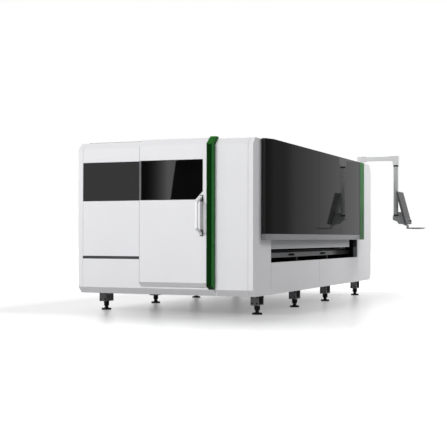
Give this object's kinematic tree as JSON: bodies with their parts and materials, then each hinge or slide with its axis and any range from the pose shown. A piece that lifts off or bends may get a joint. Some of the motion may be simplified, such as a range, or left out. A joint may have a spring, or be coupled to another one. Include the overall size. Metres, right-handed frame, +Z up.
{
  "type": "laser cutting machine",
  "caption": "Closed cabin laser cutter for sheet metal: sliding end door, tinted lifting side cover, gantry with cutting head inside, screen console on a swivel arm.",
  "frame": {"origin": "on the floor, under the middle of the bounding box, millimetres in the source and metres here", "axes": "+X across the machine towards the loading side and the console, +Y along it away from the door end, +Z up"},
  "size_m": [3.159, 5.51, 2.135],
  "materials": {
    "white_sheet": "satin light grey-white",
    "door_sheet": "satin light grey-white",
    "green_paint": "gloss green",
    "frame_paint": "satin black-grey",
    "bed_paint": "satin grey",
    "rail_paint": "satin grey",
    "console_paint": "satin mid grey",
    "arm_paint": "satin light grey",
    "bare_steel": "ground",
    "zinc_steel": "zinc plated",
    "scorched_steel": "scorched by cutting",
    "anodised": "anodised",
    "motor_black": "matt black",
    "grip_white": "satin white",
    "black_plastic": "matt black",
    "red_plastic": "gloss red",
    "button_green": "gloss green",
    "dark_window": "dark laser-safe pane",
    "cover_pane": "dark laser-safe pane",
    "screen_pane": "screen glass"
  },
  "bodies": {
    "machine": {"levelling_feet": "frame_paint", "foot_lock_nuts": "frame_paint", "bed_frame": "bed_paint", "travel_track": "bare_steel", "table_frame": "bed_paint", "cutting_slats": "scorched_steel", "scrap_tray": "bed_paint", "front_panel_left": "white_sheet", "front_panel_lower": "white_sheet", "front_panel_right": "white_sheet", "window_left": "dark_window", "front_trim_bar": "green_paint", "door_rails": "bare_steel", "side_wall_near": "white_sheet", "side_panels_low": "white_sheet", "side_header": "white_sheet", "left_wall_panels": "white_sheet", "roof_panel": "white_sheet", "fume_collar": "zinc_steel", "cabin_frame": "frame_paint", "far_cabinet": "white_sheet", "laser_source": "arm_paint", "drive_units": "console_paint", "power_gland": "black_plastic", "cover_rails": "bare_steel", "arm_bracket": "arm_paint"},
    "door": {"sliding_door": "door_sheet", "door_window": "dark_window", "door_handle": "grip_white", "handle_mounts": "black_plastic", "door_runners": "black_plastic"},
    "cover": {"cover_frame": "rail_paint", "cover_panes": "cover_pane", "cover_trim": "green_paint", "cover_skirt": "rail_paint", "cover_runners": "zinc_steel"},
    "rear_door_left": {"rear_door_left": "white_sheet"},
    "rear_door_right": {"rear_door_right": "white_sheet"},
    "gantry": {"gantry_beam": "anodised", "gantry_ends": "anodised", "travel_motors": "motor_black", "beam_track": "bare_steel"},
    "travel_pinion_right": {"travel_pinion_right": "bare_steel"},
    "travel_pinion_left": {"travel_pinion_left": "bare_steel"},
    "carriage": {"carriage_plate": "anodised", "carriage_motor": "motor_black", "head_motor": "motor_black"},
    "carriage_pinion": {"carriage_pinion": "bare_steel"},
    "head": {"head_slide": "anodised", "laser_head": "anodised"},
    "head_screw": {"head_screw": "bare_steel"},
    "arm": {"pendant_arm": "arm_paint", "arm_collar": "black_plastic"},
    "post": {"pendant_post": "rail_paint", "console_box": "console_paint", "screen_housing": "console_paint", "screen_glass": "screen_pane"},
    "keyboard_tray": {"keyboard_tray": "console_paint"},
    "emergency_stop": {"emergency_stop": "red_plastic"},
    "start_button": {"start_button": "button_green"}
  },
  "joints": [
    {"name": "door_slide", "type": "slide", "parent": "machine", "child": "door", "axis": [-1, 0, 0], "range_m": [0, 0.76]},
    {"name": "cover_lift", "type": "slide", "parent": "machine", "child": "cover", "axis": [0, 0, 1], "range_m": [0, 0.74]},
    {"name": "rear_door_left_hinge", "type": "hinge", "parent": "machine", "child": "rear_door_left", "pos_m": [-1.3735, 2.717, 1], "axis": [0, 0, 1], "range_deg": [0, 110]},
    {"name": "rear_door_right_hinge", "type": "hinge", "parent": "machine", "child": "rear_door_right", "pos_m": [0.4345, 2.717, 1], "axis": [0, 0, 1], "range_deg": [-110, 0]},
    {"name": "gantry_travel", "type": "slide", "parent": "machine", "child": "gantry", "axis": [0, -1, 0], "range_m": [0, 3.1]},
    {"name": "travel_pinion_right_spin", "type": "hinge", "parent": "gantry", "child": "travel_pinion_right", "pos_m": [0.4405, 1.63, 0.7575], "axis": [1, 0, 0], "range_deg": [0, 5930]},
    {"name": "travel_pinion_left_spin", "type": "hinge", "parent": "gantry", "child": "travel_pinion_left", "pos_m": [-1.3795, 1.63, 0.7575], "axis": [1, 0, 0], "range_deg": [0, 5930]},
    {"name": "carriage_travel", "type": "slide", "parent": "gantry", "child": "carriage", "axis": [-1, 0, 0], "range_m": [0, 1.34]},
    {"name": "carriage_pinion_spin", "type": "hinge", "parent": "carriage", "child": "carriage_pinion", "pos_m": [0.1305, 1.365, 1.1105], "axis": [0, -1, 0], "range_deg": [0, 2565]},
    {"name": "head_lift", "type": "slide", "parent": "carriage", "child": "head", "axis": [0, 0, -1], "range_m": [0, 0.12]},
    {"name": "head_screw_spin", "type": "hinge", "parent": "carriage", "child": "head_screw", "pos_m": [0.2625, 1.332, 1.1], "axis": [0, 0, 1], "range_deg": [0, 4325]},
    {"name": "arm_swivel", "type": "hinge", "parent": "machine", "child": "arm", "pos_m": [0.6725, 2.201, 2.091], "axis": [0, 0, 1], "range_deg": [-45, 45]},
    {"name": "post_swivel", "type": "hinge", "parent": "arm", "child": "post", "pos_m": [1.1565, 2.201, 1.95], "axis": [0, 0, 1], "range_deg": [-45, 45]},
    {"name": "tray_fold", "type": "hinge", "parent": "post", "child": "keyboard_tray", "pos_m": [1.3405, 2.201, 1.044], "axis": [0, 1, 0], "range_deg": [0, 90]},
    {"name": "emergency_stop_press", "type": "slide", "parent": "post", "child": "emergency_stop", "axis": [-0.965, 0, -0.2622], "range_m": [0, 0.004], "stiffness_N_per_m": 800},
    {"name": "start_button_press", "type": "slide", "parent": "post", "child": "start_button", "axis": [-0.965, 0, -0.2622], "range_m": [0, 0.004], "stiffness_N_per_m": 400}
  ],
  "couplings": [
    {"joint": "travel_pinion_right_spin", "follows": "gantry_travel", "rad_per_m": 33.333},
    {"joint": "travel_pinion_left_spin", "follows": "gantry_travel", "rad_per_m": 33.333},
    {"joint": "carriage_pinion_spin", "follows": "carriage_travel", "rad_per_m": 33.333},
    {"joint": "head_screw_spin", "follows": "head_lift", "rad_per_m": 628.32}
  ]
}
